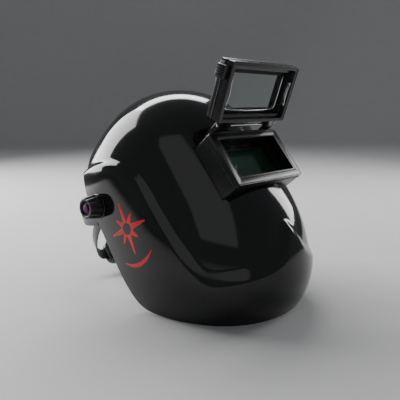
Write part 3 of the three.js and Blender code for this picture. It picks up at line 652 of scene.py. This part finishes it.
def on_ear(y, z):
    """The point just above the right ear panel at a place seen from the side."""
    full = float(fullness(np.array(float(z))))
    reach = SHELL_FRONT if y < SHELL_AXIS else SHELL_REAR
    along = abs(SHELL_AXIS - y) / (reach * full)
    x = SHELL_WIDE * full * (1 - along ** SQUARE) ** (1 / SQUARE)
    rise = float(jaw_rise(np.array(x), np.array(float(y)), np.array(float(z))))
    return Vector((JAW_STEP * (1 - rise) - x - INK_PROUD, y, z))


def stroke(name, path, widths):
    """A printed stroke along a path on the ear panel, with a width at each step."""
    steps = len(path) - 1
    bm = bmesh.new()
    bmesh.ops.create_grid(bm, x_segments=steps, y_segments=2, size=1)
    for vert in bm.verts:
        i = round((vert.co.x + 1) / 2 * steps)
        ahead, behind = path[min(i + 1, steps)], path[max(i - 1, 0)]
        way = Vector((ahead[0] - behind[0], ahead[1] - behind[1])).normalized()
        offset = vert.co.y * widths[i] / 2
        vert.co = on_ear(path[i][0] - way.y * offset, path[i][1] + way.x * offset)
    bmesh.ops.recalc_face_normals(bm, faces=bm.faces)
    bmesh.ops.transform(bm, matrix=WORN, verts=bm.verts)
    piece = new_piece(name, bm, "shell", "shell_black")
    ink = piece.modifiers.new("ink", "SOLIDIFY")
    ink.thickness = 0.0002
    ink.offset = 0
    level = piece.modifiers.new("level", "WEIGHTED_NORMAL")
    level.weight = 100
    paint(piece, mark_red)


def from_mark(radius, angle):
    """A place on the ear panel at a distance and an angle from the burst's middle."""
    return MARK_Y + radius * math.cos(angle), MARK_Z + radius * math.sin(angle)


ray_widths = [8.0 * (1 - i / (RAY_STEPS + 1)) ** 0.8 for i in range(RAY_STEPS)]
for ray in range(8):
    angle = math.radians(45 * ray + 12)
    tip = RAY_LONG if ray % 2 == 0 else RAY_SHORT
    path = [from_mark(radius, angle) for radius in np.linspace(RAY_ROOT, tip, RAY_STEPS)]
    stroke(f"printed_ray_{ray + 1}", path, ray_widths)
sweep = [from_mark(SWEEP_R, angle) for angle in np.linspace(-2.05, -0.75, SWEEP_STEPS)]
sweep_widths = [0.8 + 4.2 * math.sin(math.pi * i / (SWEEP_STEPS - 1)) for i in range(SWEEP_STEPS)]
stroke("printed_sweep", sweep, sweep_widths)


# ---- Floor, backdrop and studio light -----------------------------------------------------------------
# A pale matt sheet that sweeps up behind, a large soft panel behind on the left, a higher strip behind
# on the right, a small panel at the right and a broad weak fill from the viewer's side.
bm = bmesh.new()
bmesh.ops.create_grid(bm, x_segments=24, y_segments=160, size=1)
AWAY = Vector((LOOK.x, LOOK.y)).normalized()
FLAT, BEND_R, LONG, NEAR_END, HALF_WIDE = 2.6, 1.4, 9.0, 3.2, 5
for vert in bm.verts:
    along = (vert.co.y + 1) / 2 * LONG - NEAR_END
    bend = min(max(along - FLAT, 0) / BEND_R, math.pi / 2)
    climb = max(along - FLAT - BEND_R * math.pi / 2, 0)
    ahead = min(along, FLAT) + BEND_R * math.sin(bend)
    height = BEND_R * (1 - math.cos(bend)) + climb
    aside = vert.co.x * HALF_WIDE
    vert.co = Vector((AWAY.x * ahead - AWAY.y * aside, AWAY.y * ahead + AWAY.x * aside, height))
floor_mesh = bpy.data.meshes.new("floor")
bm.to_mesh(floor_mesh)
bm.free()
for face in floor_mesh.polygons:
    face.use_smooth = True
floor = bpy.data.objects.new("floor", floor_mesh)
bpy.context.scene.collection.objects.link(floor)
paint(floor, surface("pale_floor", (0.55, 0.55, 0.55), 0.7, 300, 0.02, 0.05, tint=0.02))


def softbox(name, place, target, size, power):
    """A rectangular soft panel of light, turned to face a point."""
    light = bpy.data.objects.new(name, bpy.data.lights.new(name, "AREA"))
    bpy.context.scene.collection.objects.link(light)
    light.location = place
    light.rotation_euler = (Vector(target) - Vector(place)).to_track_quat("-Z", "Y").to_euler()
    light.data.shape = "RECTANGLE"
    light.data.size, light.data.size_y = size
    light.data.energy = power


softbox("key_rear_left", (-0.3, 1.3, 0.8), (0, 0, 0.25), (0.95, 1.35), 36)
softbox("rear_strip", (0.62, 0.84, 1.32), (0, 0, 0.2), (1.3, 0.36), 20)
softbox("right_panel", (1.38, -0.4, 0.62), (0, 0, 0.15), (0.5, 0.62), 9)
softbox("front_fill", (-1.7, -1.7, 1.9), (0, 0, 0.1), (2.4, 2.2), 7)
world = bpy.data.worlds.new("studio")
world.use_nodes = True
world.node_tree.nodes["Background"].inputs["Color"].default_value = (0.55, 0.57, 0.6, 1)
world.node_tree.nodes["Background"].inputs["Strength"].default_value = 0.3
bpy.context.scene.world = world
